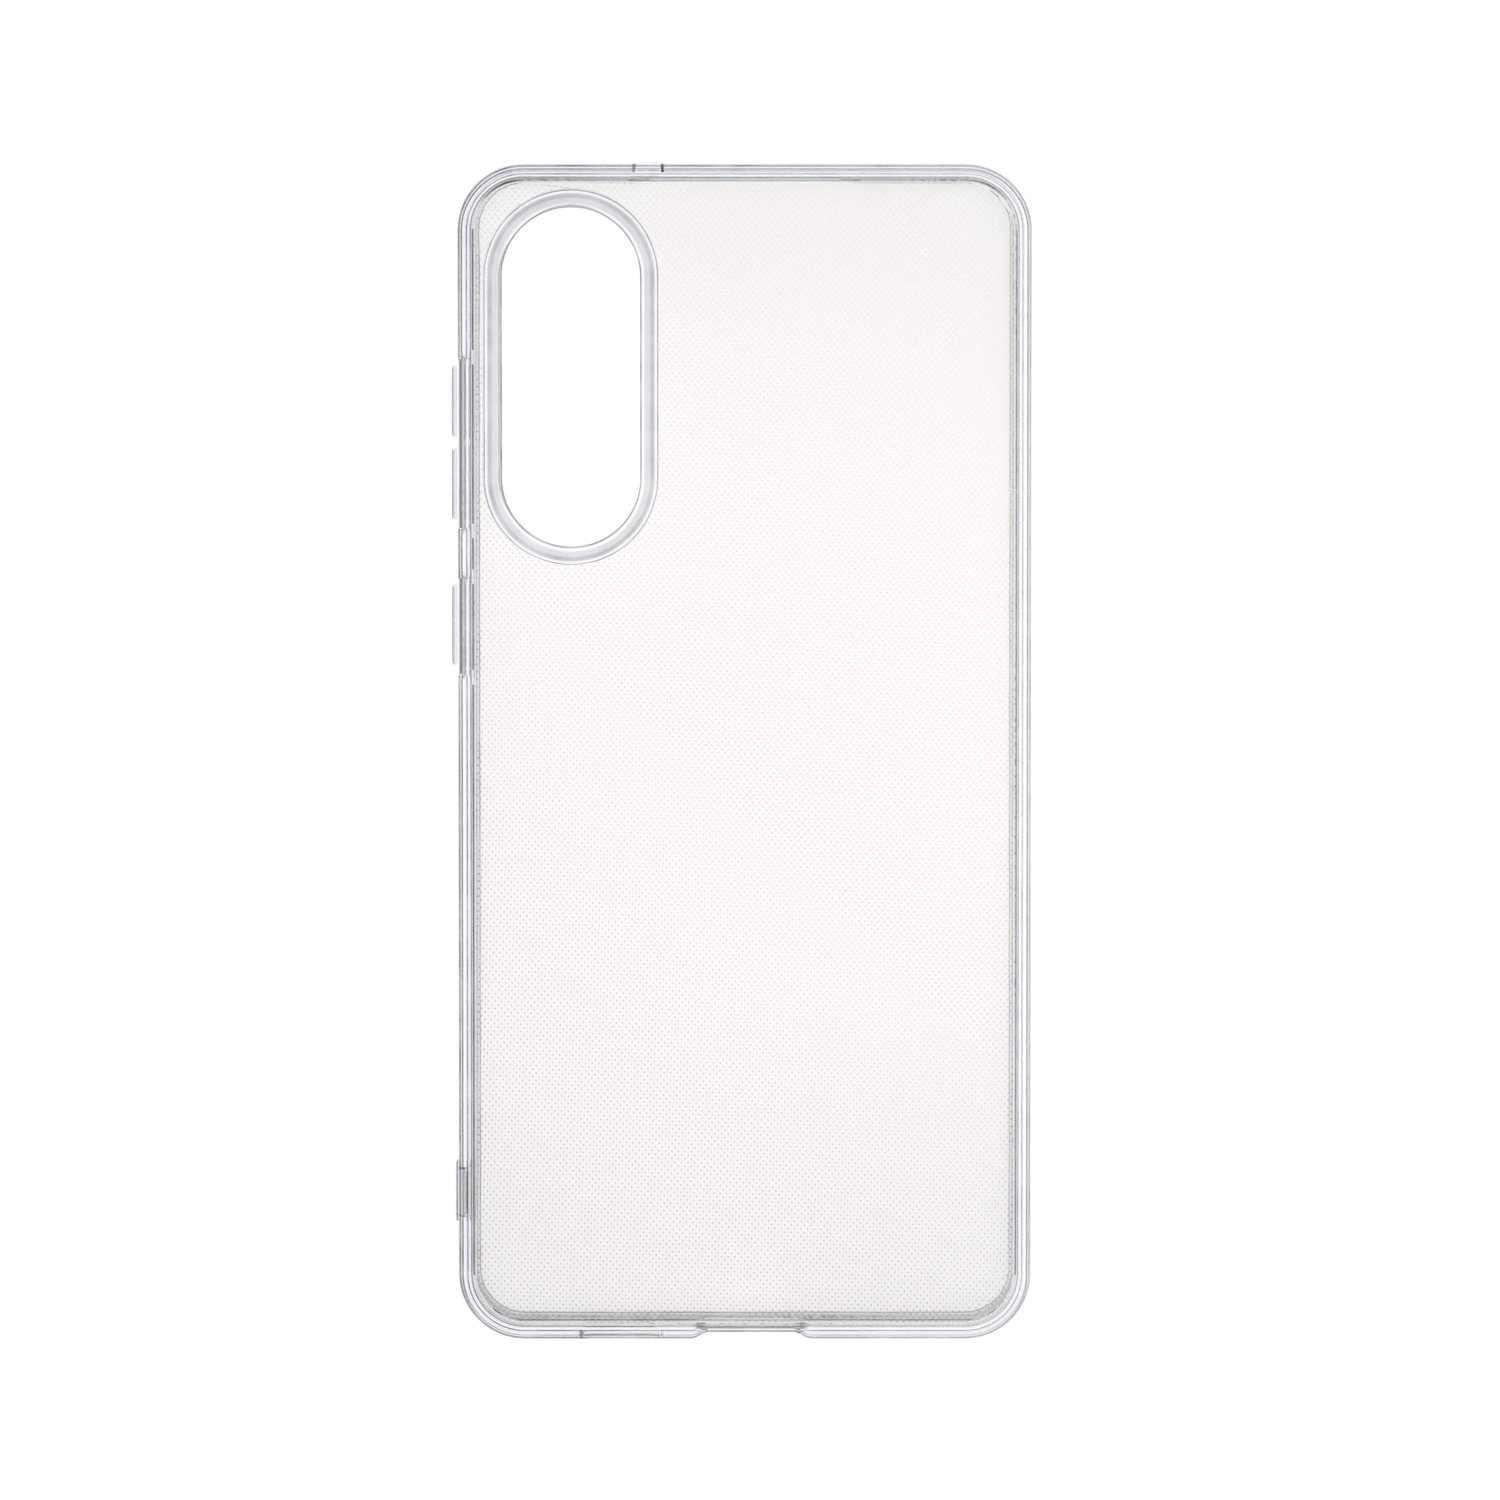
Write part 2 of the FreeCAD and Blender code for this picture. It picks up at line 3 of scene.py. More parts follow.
import bmesh
import bpy
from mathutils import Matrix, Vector


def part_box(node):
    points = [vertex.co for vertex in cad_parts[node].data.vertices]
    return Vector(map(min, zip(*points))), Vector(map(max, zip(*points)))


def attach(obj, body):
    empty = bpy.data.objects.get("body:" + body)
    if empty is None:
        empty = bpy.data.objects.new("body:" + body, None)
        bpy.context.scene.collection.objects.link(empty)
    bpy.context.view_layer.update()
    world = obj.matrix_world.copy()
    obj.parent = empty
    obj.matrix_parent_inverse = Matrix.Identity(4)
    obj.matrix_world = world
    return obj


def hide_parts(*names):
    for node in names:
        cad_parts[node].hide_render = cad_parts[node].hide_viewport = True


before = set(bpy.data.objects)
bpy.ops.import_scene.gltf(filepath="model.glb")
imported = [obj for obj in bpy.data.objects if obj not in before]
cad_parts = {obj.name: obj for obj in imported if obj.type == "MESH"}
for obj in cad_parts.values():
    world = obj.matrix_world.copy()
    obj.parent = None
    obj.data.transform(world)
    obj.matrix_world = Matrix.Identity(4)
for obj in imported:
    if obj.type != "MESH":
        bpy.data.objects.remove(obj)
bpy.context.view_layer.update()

MM = 0.001

# ---------------------------------------------------------------- places read from the frame
FRAME_LOW, FRAME_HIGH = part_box("bumper_frame")
RING_LOW, RING_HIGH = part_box("camera_ring")
PLATE_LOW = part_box("back_plate")[0]
BAR_LOW, BAR_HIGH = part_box("strap_bar")
HALF_WIDTH = FRAME_HIGH.x
HALF_LENGTH = FRAME_HIGH.y
LIP_TOP = FRAME_LOW.z
BACK_FACE = FRAME_HIGH.z
POCKET_TOP = PLATE_LOW.z
RING_TOP = RING_HIGH.z
MID_HEIGHT = (LIP_TOP + POCKET_TOP) / 2

# ---------------------------------------------------------------- sizes of the moulding
WALL = 1.3 * MM
CASE_CORNER = 9.3 * MM
BACK_ROUNDING = 1.6 * MM
FRONT_ROUNDING = 0.6 * MM
POCKET_ROUNDING = 0.8 * MM
LIP_ROOT_ROUNDING = 0.25 * MM
LIP_NOSE_ROUNDING = 0.38 * MM
LIP_REACH = 3.05 * MM
FLANGE_EDGE = 2.5 * MM
EDGE_SOFTENING = 0.12 * MM
HAIRLINE = 0.015 * MM
RING_WIDTH = 2.65 * MM
RELIEF_HALF_LENGTH = 15.45 * MM
RELIEF_DEPTH = 0.5 * MM
RELIEF_BLEND = 1.3 * MM
SCOOP_MIDDLE = 0.9 * MM
SCOOP_HALF_LENGTH = 8.35 * MM
SCOOP_BLEND = 2.4 * MM
SCOOP_DEPTH = 1.0 * MM
SCOOP_BACK_ROUNDING = 1.2 * MM
WEB_RECESS = 0.1 * MM
WEB_THICKNESS = 0.45 * MM
WEB_HALF_HEIGHT = 2.5 * MM
WEB_STEP = 0.15 * MM
WEB_BLEND = 0.9 * MM
WEB_LEDGE = 0.25 * MM
LEDGE_BAND = (0.95 * MM, 1.08 * MM)
LEDGE_FADE = 0.05 * MM
# Painted shade: grey added on the strap window's and speaker slot's faces, then painted shade
# taken off the shoulder over each web.
WINDOW_PAINTED_SHADE = 0.4
SHOULDER_PAINTED_SHADE_CUT = 0.6
SPEAKER_MIDDLE = -17.4 * MM
SPEAKER_HALF_LENGTH = 5.95 * MM
SPEAKER_HALF_HEIGHT = 1.6 * MM
HINGE_DEPTH = 0.25 * MM
HINGE_REACH = 0.75 * MM
PAD_CLEARANCE = 0.06 * MM
PAD_HALF_HEIGHT = 1.5 * MM
PAD_CORNER = 1.0 * MM
PAD_FLANGE = 0.4 * MM
PAD_FLANGE_THICKNESS = 0.25 * MM
PAD_ROUNDING = 0.5 * MM
PAD_CROWN = 0.05 * MM
PORT_HALF_LENGTH = 6.3 * MM
PORT_HALF_HEIGHT = 2.825 * MM
PORT_CORNER = 1.5 * MM
MIC_MIDDLE = -13.5 * MM
MIC_HALF_LENGTH = 2.25 * MM
MIC_HALF_HEIGHT = 0.9 * MM
STRAP_HALF_LENGTH = 3.55 * MM
STRAP_HALF_HEIGHT = 3.02 * MM
STRAP_CORNER = 0.8 * MM
BAR_CORNER = 0.6 * MM
BAR_SEAT_DEPTH = 0.5 * MM
ARC_STEPS = 10


# ---------------------------------------------------------------- small geometry helpers
def smooth_step(value):
    """0 below 0, 1 above 1, with a smooth S between them."""
    value = min(max(value, 0.0), 1.0)
    return value * value * (3 - 2 * value)


def arc_points(centre, radius, start, end, steps=ARC_STEPS):
    """Points on an arc in (inward, height), with its angles in degrees."""
    points = []
    for step in range(steps + 1):
        angle = math.radians(start + (end - start) * step / steps)
        points.append((centre[0] + radius * math.cos(angle),
                       centre[1] + radius * math.sin(angle)))
    return points


def rounded_outline(half_a, half_b, corner, steps=ARC_STEPS):
    """A closed rounded rectangle, anticlockwise, as points in its own plane."""
    points = []
    for quarter, (sign_a, sign_b) in enumerate(((1, 1), (-1, 1), (-1, -1), (1, -1))):
        centre = (sign_a * (half_a - corner), sign_b * (half_b - corner))
        points += arc_points(centre, corner, 90 * quarter, 90 * quarter + 90, steps)
    return points


def mesh_piece(name, vertices, faces):
    """A mesh object in the scene with its normals pointing out."""
    mesh = bpy.data.meshes.new(name)
    mesh.from_pydata(vertices, [], faces)
    shape = bmesh.new()
    shape.from_mesh(mesh)
    bmesh.ops.remove_doubles(shape, verts=shape.verts, dist=1e-7)
    bmesh.ops.recalc_face_normals(shape, faces=shape.faces)
    shape.to_mesh(mesh)
    shape.free()
    piece = bpy.data.objects.new(name, mesh)
    bpy.context.scene.collection.objects.link(piece)
    return piece


def stack_rings(name, rings):
    """A closed solid through rings of equal point counts, capped at both ends."""
    count = len(rings[0])
    vertices = [point for ring in rings for point in ring]
    faces = [list(range(count)), list(range((len(rings) - 1) * count, len(rings) * count))]
    for level in range(len(rings) - 1):
        for i in range(count):
            j = (i + 1) % count
            base = level * count
            faces.append((base + i, base + j, base + count + j, base + count + i))
    return mesh_piece(name, vertices, faces)


def sweep(name, stations, section_at):
    """A closed tube along stations, each (x, y, inward x, inward y), through its sections."""
    sections = [section_at(*station) for station in stations]
    count = len(sections[0])
    vertices = []
    for (x, y, in_x, in_y), section in zip(stations, sections):
        vertices += [(x + in_x * u, y + in_y * u, z) for u, z in section]
    faces = []
    for s in range(len(stations)):
        following = (s + 1) % len(stations)
        for i in range(count):
            j = (i + 1) % count
            faces.append((s * count + i, s * count + j, following * count + j,
                          following * count + i))
    return mesh_piece(name, vertices, faces)


def apply_modifiers(piece):
    """Turn a piece's modifiers into its mesh."""
    graph = bpy.context.evaluated_depsgraph_get()
    mesh = bpy.data.meshes.new_from_object(piece.evaluated_get(graph), depsgraph=graph)
    piece.modifiers.clear()
    old = piece.data
    piece.data = mesh
    bpy.data.meshes.remove(old)


def cut_with(piece, cutters):
    """Cut the cutters out of a piece and remove them."""
    for cutter in cutters:
        modifier = piece.modifiers.new(cutter.name, "BOOLEAN")
        modifier.operation = "DIFFERENCE"
        modifier.solver = "EXACT"
        modifier.object = cutter
    bpy.context.view_layer.update()
    apply_modifiers(piece)
    for cutter in cutters:
        bpy.data.objects.remove(cutter)


def mark_inward(piece, inward_at):
    """Store how far in from its piece's outer edge each vertex lies, for the material to read."""
    places = piece.data.attributes.new("inward", "FLOAT", "POINT")
    places.data.foreach_set("value", [inward_at(vertex.co) for vertex in piece.data.vertices])


def mark_painted_shade(piece):
    """Store the painted shade that the webs' ledges and the windows add to the lines, or that the
    webs' shoulders take away, for the material to read.
    """
    marks = piece.data.attributes.new("painted_shade_marks", "FLOAT", "POINT")
    strap_low, strap_high = BAR_LOW.y + 0.5 * MM, BAR_HIGH.y - 0.5 * MM
    # Painted shade: a dark line on each web's ledge, less on the shoulder over each web, and grey
    # on the faces of the strap window and speaker slot.
    for vertex, mark in zip(piece.data.vertices, marks.data):
        place = vertex.co
        inward = place.x + HALF_WIDTH
        on_line = LEDGE_BAND[0] - 0.02 * MM < inward < LEDGE_BAND[1] + 0.02 * MM
        on_ledge = 0 < MID_HEIGHT + WEB_HALF_HEIGHT - place.z < WEB_LEDGE
        if on_line and on_ledge and web_share(place.y, 1) > 0.97:
            mark.value = 1.0
        elif place.z > POCKET_TOP and inward < BACK_ROUNDING and web_share(place.y, 1) > 0.97:
            mark.value = -SHOULDER_PAINTED_SHADE_CUT
        elif 0.1 * MM < inward < WALL - 0.1 * MM and strap_low < place.y < strap_high:
            mark.value = WINDOW_PAINTED_SHADE
        elif abs(place.x - SPEAKER_MIDDLE) < SPEAKER_HALF_LENGTH - SPEAKER_HALF_HEIGHT / 2:
            from_bottom = place.y + HALF_LENGTH
            if 0.2 * MM < from_bottom < WALL - 0.2 * MM:
                mark.value = WINDOW_PAINTED_SHADE


def outline_inward(x, y, half_x, half_y, corner):
    """Distance in from a rounded rectangle's edge."""
    across = abs(x) - (half_x - corner)
    along = abs(y) - (half_y - corner)
    outside = math.hypot(max(across, 0), max(along, 0))
    return corner - outside - min(max(across, along), 0)


def shade(piece, angle=32):
    """Smooth shading that keeps flat faces flat and edges over the angle sharp."""
    piece.data.shade_smooth()
    piece.data.set_sharp_from_angle(angle=math.radians(angle))
    modifier = piece.modifiers.new("face_weights", "WEIGHTED_NORMAL")
    modifier.keep_sharp = True
    modifier.weight = 80
    apply_modifiers(piece)


# ---------------------------------------------------------------- outlines in plan
def side_steps(low, high, marks, blend):
    """Places along a side from low to high, close together round each mark."""
    places = {low, high}
    for mark in marks:
        for step in range(-14, 15):
            place = mark + blend * step / 12
            if low < place < high:
                places.add(place)
    return sorted(places)


def case_stations():
    """Stations anticlockwise round the case's outer wall, from its bottom right corner."""
    flat_x = HALF_WIDTH - CASE_CORNER
    flat_y = HALF_LENGTH - CASE_CORNER
    scoop_half = SCOOP_HALF_LENGTH - SCOOP_BLEND / 2
    scoop_marks = (SCOOP_MIDDLE - scoop_half, SCOOP_MIDDLE + scoop_half)
    relief_half = RELIEF_HALF_LENGTH - RELIEF_BLEND / 2
    web_marks = [edge for middle, half in WEBS for edge in (middle - half, middle + half)]
    stations = [(HALF_WIDTH, y, -1, 0) for y in (-flat_y, 0, flat_y)]
    stations += corner_stations(flat_x, flat_y, 0)
    top = side_steps(-flat_x, flat_x, (-relief_half, relief_half), RELIEF_BLEND)
    stations += [(x, HALF_LENGTH, 0, -1) for x in reversed(top)]
    stations += corner_stations(-flat_x, flat_y, 90)
    left = side_steps(-flat_y, flat_y, web_marks, WEB_BLEND)
    stations += [(-HALF_WIDTH, y, 1, 0) for y in reversed(left)]
    stations += corner_stations(-flat_x, -flat_y, 180)
    bottom = side_steps(-flat_x, flat_x, scoop_marks, SCOOP_BLEND)
    stations += [(x, -HALF_LENGTH, 0, 1) for x in bottom]
    stations += corner_stations(flat_x, -flat_y, 270)
    return stations


def corner_stations(centre_x, centre_y, start, steps=24):
    """Stations between a corner's two ends, which belong to its sides."""
    stations = []
    for step in range(1, steps):
        angle = math.radians(start + 90 * step / steps)
        out_x, out_y = math.cos(angle), math.sin(angle)
        stations.append((centre_x + CASE_CORNER * out_x, centre_y + CASE_CORNER * out_y,
                         -out_x, -out_y))
    return stations


# ---------------------------------------------------------------- bumper
def pad_span(node):
    """The middle and half length, along Y, of a pad's outer face."""
    low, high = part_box(node)
    return (low.y + high.y) / 2, (high.y - low.y) / 2 - PAD_FLANGE


def web_span(node):
    """The middle and half length, along Y, of a thin web."""
    low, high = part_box(node)
    return (low.y + high.y) / 2, (high.y - low.y) / 2


PADS = {node: pad_span(node)
        for node in ("volume_up_button", "volume_down_button", "power_button")}
WEBS = [web_span("volume_button_web"), web_span("power_button_web")]

def scoop_share(x, in_y):
    """How far into the port scoop a station lies, from 0 to 1."""
    if in_y < 0.5:
        return 0.0
    inside = SCOOP_HALF_LENGTH - abs(x - SCOOP_MIDDLE)
    return smooth_step(inside / SCOOP_BLEND)


def relief_share(x, in_y):
    """How far into the earpiece relief a station lies, from 0 to 1."""
    if in_y > -0.5:
        return 0.0
    return smooth_step((RELIEF_HALF_LENGTH - abs(x)) / RELIEF_BLEND)


def web_share(y, in_x):
    """How far into a thin web a station lies, from 0 to 1."""
    if in_x < 0.5:
        return 0.0
    return max(smooth_step((half - abs(y - middle)) / WEB_BLEND + 0.5)
               for middle, half in WEBS)


def hinge_share(y, in_x):
    """How deep into the flexing groove at a web's end a station lies, from 0 to 1."""
    if in_x < 0.5:
        return 0.0
    ends = [end for middle, half in WEBS for end in (middle - half + HINGE_REACH,
                                                     middle + half - HINGE_REACH)]
    return max(1 - smooth_step(abs(y - end) / HINGE_REACH) for end in ends)


def bumper_section(x, y, in_x, in_y):
    """The wall, flange and lip in (inward, height), from the rim's outer rounding round."""
    scoop = scoop_share(x, in_y)
    web = web_share(y, in_x)
    face = SCOOP_DEPTH * scoop
    lip_edge = LIP_REACH - RELIEF_DEPTH * relief_share(x, in_y)
    back = BACK_ROUNDING + (SCOOP_BACK_ROUNDING - BACK_ROUNDING) * scoop
    outer_dip = WEB_RECESS * web + HINGE_DEPTH * hinge_share(y, in_x)
    inner_dip = (WALL - WEB_RECESS - WEB_THICKNESS) * web
    low, high = MID_HEIGHT - WEB_HALF_HEIGHT, MID_HEIGHT + WEB_HALF_HEIGHT
    step = WEB_STEP
    points = arc_points((face + FRONT_ROUNDING, FRONT_ROUNDING), FRONT_ROUNDING, 270, 180)
    points += [(face, low), (face + outer_dip, low + step), (face + outer_dip, high - step),
               (face, high)]
    points += arc_points((face + back, BACK_FACE - back), back, 180, 90, 16)
    flange = FLANGE_EDGE - HAIRLINE
    points += arc_points((flange - EDGE_SOFTENING, BACK_FACE - EDGE_SOFTENING),
                         EDGE_SOFTENING, 90, 0, 4)
    points += arc_points((flange - EDGE_SOFTENING, POCKET_TOP + EDGE_SOFTENING),
                         EDGE_SOFTENING, 0, -90, 4)
    points += arc_points((WALL + POCKET_ROUNDING, POCKET_TOP - POCKET_ROUNDING),
                         POCKET_ROUNDING, 90, 180)
    points.append((WALL, high))
    for line in (LEDGE_BAND[1] + LEDGE_FADE, *reversed(LEDGE_BAND), LEDGE_BAND[0] - LEDGE_FADE):
        points.append((WALL - (WALL - line) * web, high - step * (WALL - line) / WALL))
    points += [(WALL - inner_dip, high - step), (WALL - inner_dip, low + step), (WALL, low)]
    points += arc_points((WALL + LIP_ROOT_ROUNDING, LIP_TOP + LIP_ROOT_ROUNDING),
                         LIP_ROOT_ROUNDING, 180, 270, 5)
    points += arc_points((lip_edge - LIP_NOSE_ROUNDING, LIP_TOP - LIP_NOSE_ROUNDING),
                         LIP_NOSE_ROUNDING, 90, 0, 8)
    points += arc_points((lip_edge - LIP_NOSE_ROUNDING, LIP_NOSE_ROUNDING),
                         LIP_NOSE_ROUNDING, 0, -90, 8)
    return points


def wall_cutter(name, origin, along, through, half_a, half_b, corner, depths):
    """A cutter through a wall: rings at (depth, growth) along through, from origin."""
    across = Vector((0, 0, 1))
    rings = []
    for depth, growth in depths:
        outline = rounded_outline(half_a + growth, half_b + growth, corner + growth)
        rings.append([origin + along * a + across * b + through * depth for a, b in outline])
    return stack_rings(name, rings)


def flared(near, far, flare, margin=0.6 * MM):
    """Depths for wall_cutter: a hole from face near to face far with both mouths rounded."""
    depths = [(near - margin, flare * 0.93)]
    for step in range(7):
        angle = math.radians(78 - 13 * step)
        depths.append((near + flare * (1 - math.sin(angle)), flare * (1 - math.cos(angle))))
    for step in range(7):
        angle = math.radians(13 * step)
        depths.append((far - flare * (1 - math.sin(angle)), flare * (1 - math.cos(angle))))
    depths.append((far + margin, flare * 0.93))
    return depths


def bumper_cutters():
    """Cutters for the pads' windows, the strap window and the slots in the end walls."""
    out_x, out_y = Vector((1, 0, 0)), Vector((0, 1, 0))
    cutters = []
    for pad, (middle, half) in PADS.items():
        origin = Vector((-HALF_WIDTH, middle, MID_HEIGHT))
        cutters.append(wall_cutter(f"cut_{pad}", origin, out_y, out_x,
                                   half + PAD_CLEARANCE, PAD_HALF_HEIGHT + PAD_CLEARANCE,
                                   PAD_CORNER + PAD_CLEARANCE,
                                   flared(WEB_RECESS, WEB_RECESS + WEB_THICKNESS, 0.08 * MM,
                                          0.12 * MM)))
    strap_middle = (BAR_LOW.y + BAR_HIGH.y) / 2
    origin = Vector((-HALF_WIDTH, strap_middle, MID_HEIGHT))
    cutters.append(wall_cutter("cut_strap", origin, out_y, out_x, STRAP_HALF_LENGTH,
                               STRAP_HALF_HEIGHT, STRAP_CORNER, flared(0, WALL, 0.15 * MM)))
    seat_half = (BAR_HIGH.y - BAR_LOW.y) / 2 + HAIRLINE
    seat_height = (BAR_HIGH.z - BAR_LOW.z) / 2 + HAIRLINE
    cutters.append(wall_cutter("cut_bar_seat", origin, out_y, out_x, seat_half, seat_height,
                               BAR_CORNER,
                               [(-0.6 * MM, 0), (BAR_SEAT_DEPTH + HAIRLINE, 0)]))
    bottom = Vector((0, -HALF_LENGTH, MID_HEIGHT))
    cutters.append(wall_cutter("cut_port", bottom + out_x * SCOOP_MIDDLE, out_x, out_y,
                               PORT_HALF_LENGTH, PORT_HALF_HEIGHT, PORT_CORNER,
                               flared(SCOOP_DEPTH, WALL, 0.1 * MM)))
    cutters.append(wall_cutter("cut_speaker", bottom + out_x * SPEAKER_MIDDLE, out_x, out_y,
                               SPEAKER_HALF_LENGTH, SPEAKER_HALF_HEIGHT,
                               SPEAKER_HALF_HEIGHT - 0.001 * MM, flared(0, WALL, 0.15 * MM)))
    top = Vector((0, HALF_LENGTH, MID_HEIGHT))
    cutters.append(wall_cutter("cut_mic", top + out_x * MIC_MIDDLE, out_x, -out_y,
                               MIC_HALF_LENGTH, MIC_HALF_HEIGHT, MIC_HALF_HEIGHT - 0.001 * MM,
                               flared(0, WALL, 0.2 * MM)))
    return cutters


def bumper_inward(place):
    """Distance in from the local outer wall, with the lip's nose always at the lip's reach."""
    inward = outline_inward(place.x, place.y, HALF_WIDTH, HALF_LENGTH, CASE_CORNER)
    straight = abs(place.x) < HALF_WIDTH - CASE_CORNER
    if straight and place.y < 0:
        face = SCOOP_DEPTH * scoop_share(place.x, 1)
        on_face = inward < face + 0.16 * MM or place.z > POCKET_TOP + 0.05 * MM
        on_front = place.z < FRONT_ROUNDING and inward < face + FRONT_ROUNDING + 0.01 * MM
        if (on_face or on_front) and inward < WALL + POCKET_ROUNDING:
            inward -= face
    if place.x < 0 and inward < WEB_RECESS + HINGE_DEPTH + 0.01 * MM:
        if abs(place.z - MID_HEIGHT) < WEB_HALF_HEIGHT and web_share(place.y, 1) > 0:
            inward = 0
    if straight and place.y > 0 and place.z < LIP_TOP and inward > LIP_REACH - 2 * RELIEF_DEPTH:
        inward += RELIEF_DEPTH * relief_share(place.x, -1)
    return inward


def make_bumper():
    """The soft moulding: wall, flange, lip and the thin webs round the pads."""
    piece = sweep("soft_bumper", case_stations(), bumper_section)
    cut_with(piece, bumper_cutters())
    mark_inward(piece, bumper_inward)
    mark_painted_shade(piece)
    shade(piece)
    return piece


# ---------------------------------------------------------------- back sheet and ring
def stadium_stations(half_width, half_length, centre, steps=40):
    """Stations anticlockwise round an upright stadium, inward pointing away from it."""
    reach = half_length - half_width
    stations = []
    for start, sign in ((0, 1), (180, -1)):
        for step in range(steps + 1):
            angle = math.radians(start + 180 * step / steps)
            out_x, out_y = math.cos(angle), math.sin(angle)
            stations.append((centre.x + half_width * out_x,
                             centre.y + sign * reach + half_width * out_y, out_x, out_y))
    return stations


RING_CENTRE = (RING_LOW + RING_HIGH) / 2
OPENING_HALF_WIDTH = (RING_HIGH.x - RING_LOW.x) / 2 - RING_WIDTH
OPENING_HALF_LENGTH = (RING_HIGH.y - RING_LOW.y) / 2 - RING_WIDTH
RING_CREST_ROUNDING = 1.1 * MM


def ring_section(x, y, out_x, out_y):
    """The ring in (outward from the opening, height), from its inner bottom edge up."""
    soft = EDGE_SOFTENING
    crest = RING_CREST_ROUNDING
    outer = RING_WIDTH - HAIRLINE
    points = arc_points((soft, POCKET_TOP + soft), soft, 270, 180, 4)
    points += arc_points((crest, RING_TOP - crest), crest, 180, 90, 14)
    points += arc_points((outer - crest, RING_TOP - crest), crest, 90, 0, 14)
    points += arc_points((outer - soft, POCKET_TOP + soft), soft, 0, -90, 4)
    return points


def ring_inward(place):
    """Distance out from the edge of the camera opening."""
    reach = OPENING_HALF_LENGTH - OPENING_HALF_WIDTH
    along = max(abs(place.y - RING_CENTRE.y) - reach, 0)
    return math.hypot(place.x - RING_CENTRE.x, along) - OPENING_HALF_WIDTH


def make_ring():
    """The raised bead round the cameras, which fills the back sheet's window."""
    stations = stadium_stations(OPENING_HALF_WIDTH, OPENING_HALF_LENGTH, RING_CENTRE)
    piece = sweep("camera_bead", stations, ring_section)
    mark_inward(piece, ring_inward)
    shade(piece)
    return piece


def sheet_loops():
    """The back sheet's outer outline and its window, as stations whose inward is into it."""
    inset = FLANGE_EDGE + HAIRLINE
    half_x, half_y = HALF_WIDTH - inset, HALF_LENGTH - inset
    corner = CASE_CORNER - inset
    outer = []
    for sign_x, sign_y, start in ((1, 1, 0), (-1, 1, 90), (-1, -1, 180), (1, -1, 270)):
        for step in range(25):
            angle = math.radians(start + 90 * step / 24)
            out_x, out_y = math.cos(angle), math.sin(angle)
            outer.append((sign_x * (half_x - corner) + corner * out_x,
                          sign_y * (half_y - corner) + corner * out_y, -out_x, -out_y))
    window = stadium_stations(OPENING_HALF_WIDTH + RING_WIDTH + HAIRLINE,
                              OPENING_HALF_LENGTH + RING_WIDTH + HAIRLINE, RING_CENTRE)
    return outer, window


def make_back_sheet():
    """The flat back sheet with softened edges and the camera window."""
    soft = 0.08 * MM
    profile = arc_points((soft, BACK_FACE - soft), soft, 90, 180, 4)
    profile += arc_points((soft, POCKET_TOP + soft), soft, 180, 270, 4)
    shape = bmesh.new()
    top_edges, bottom_edges = [], []
    for loop in sheet_loops():
        levels = [[shape.verts.new((x + in_x * u, y + in_y * u, z)) for x, y, in_x, in_y in loop]
                  for u, z in profile]
        count = len(loop)
        for upper, lower in zip(levels, levels[1:]):
            for i in range(count):
                j = (i + 1) % count
                shape.faces.new((upper[i], upper[j], lower[j], lower[i]))
        for edges, level in ((top_edges, levels[0]), (bottom_edges, levels[-1])):
            for i in range(count):
                edges.append(shape.edges.get((level[i], level[(i + 1) % count])))
    for edges in (top_edges, bottom_edges):
        bmesh.ops.triangle_fill(shape, use_beauty=True, edges=edges)
    bmesh.ops.recalc_face_normals(shape, faces=shape.faces)
    mesh = bpy.data.meshes.new("back_sheet")
    shape.to_mesh(mesh)
    shape.free()
    piece = bpy.data.objects.new("back_sheet", mesh)
    bpy.context.scene.collection.objects.link(piece)
    shade(piece)
    return piece


# ---------------------------------------------------------------- pads and strap bar
def make_pad(pad):
    """A crowned pad with soft edges, and the flange behind its web."""
    low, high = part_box(pad)
    middle, half = PADS[pad]
    origin = Vector((high.x, middle, MID_HEIGHT))
    depth = high.x - low.x
    soft = 0.06 * MM
    levels = [(0, PAD_FLANGE - soft), (soft, PAD_FLANGE),
              (PAD_FLANGE_THICKNESS - soft, PAD_FLANGE),
              (PAD_FLANGE_THICKNESS, PAD_FLANGE - soft),
              (PAD_FLANGE_THICKNESS + 0.001 * MM, 0)]
    for step in range(9):
        angle = math.radians(90 * step / 9)
        levels.append((depth - PAD_ROUNDING * (1 - math.sin(angle)) - PAD_CROWN,
                       -PAD_ROUNDING * (1 - math.cos(angle))))
    levels += [(depth - PAD_CROWN, -PAD_ROUNDING),
               (depth - PAD_CROWN / 2, -PAD_ROUNDING - 0.35 * MM),
               (depth, -PAD_ROUNDING - 0.7 * MM)]
    rings = []
    for reach, growth in levels:
        outline = rounded_outline(half + growth, PAD_HALF_HEIGHT + growth,
                                  max(PAD_CORNER + growth, 0.12 * MM))
        rings.append([origin + Vector((-reach, a, b)) for a, b in outline])
    piece = stack_rings(f"{pad}_pad", rings)
    mark_inward(piece, lambda place: place.x - low.x)
    shade(piece, 40)
    return piece


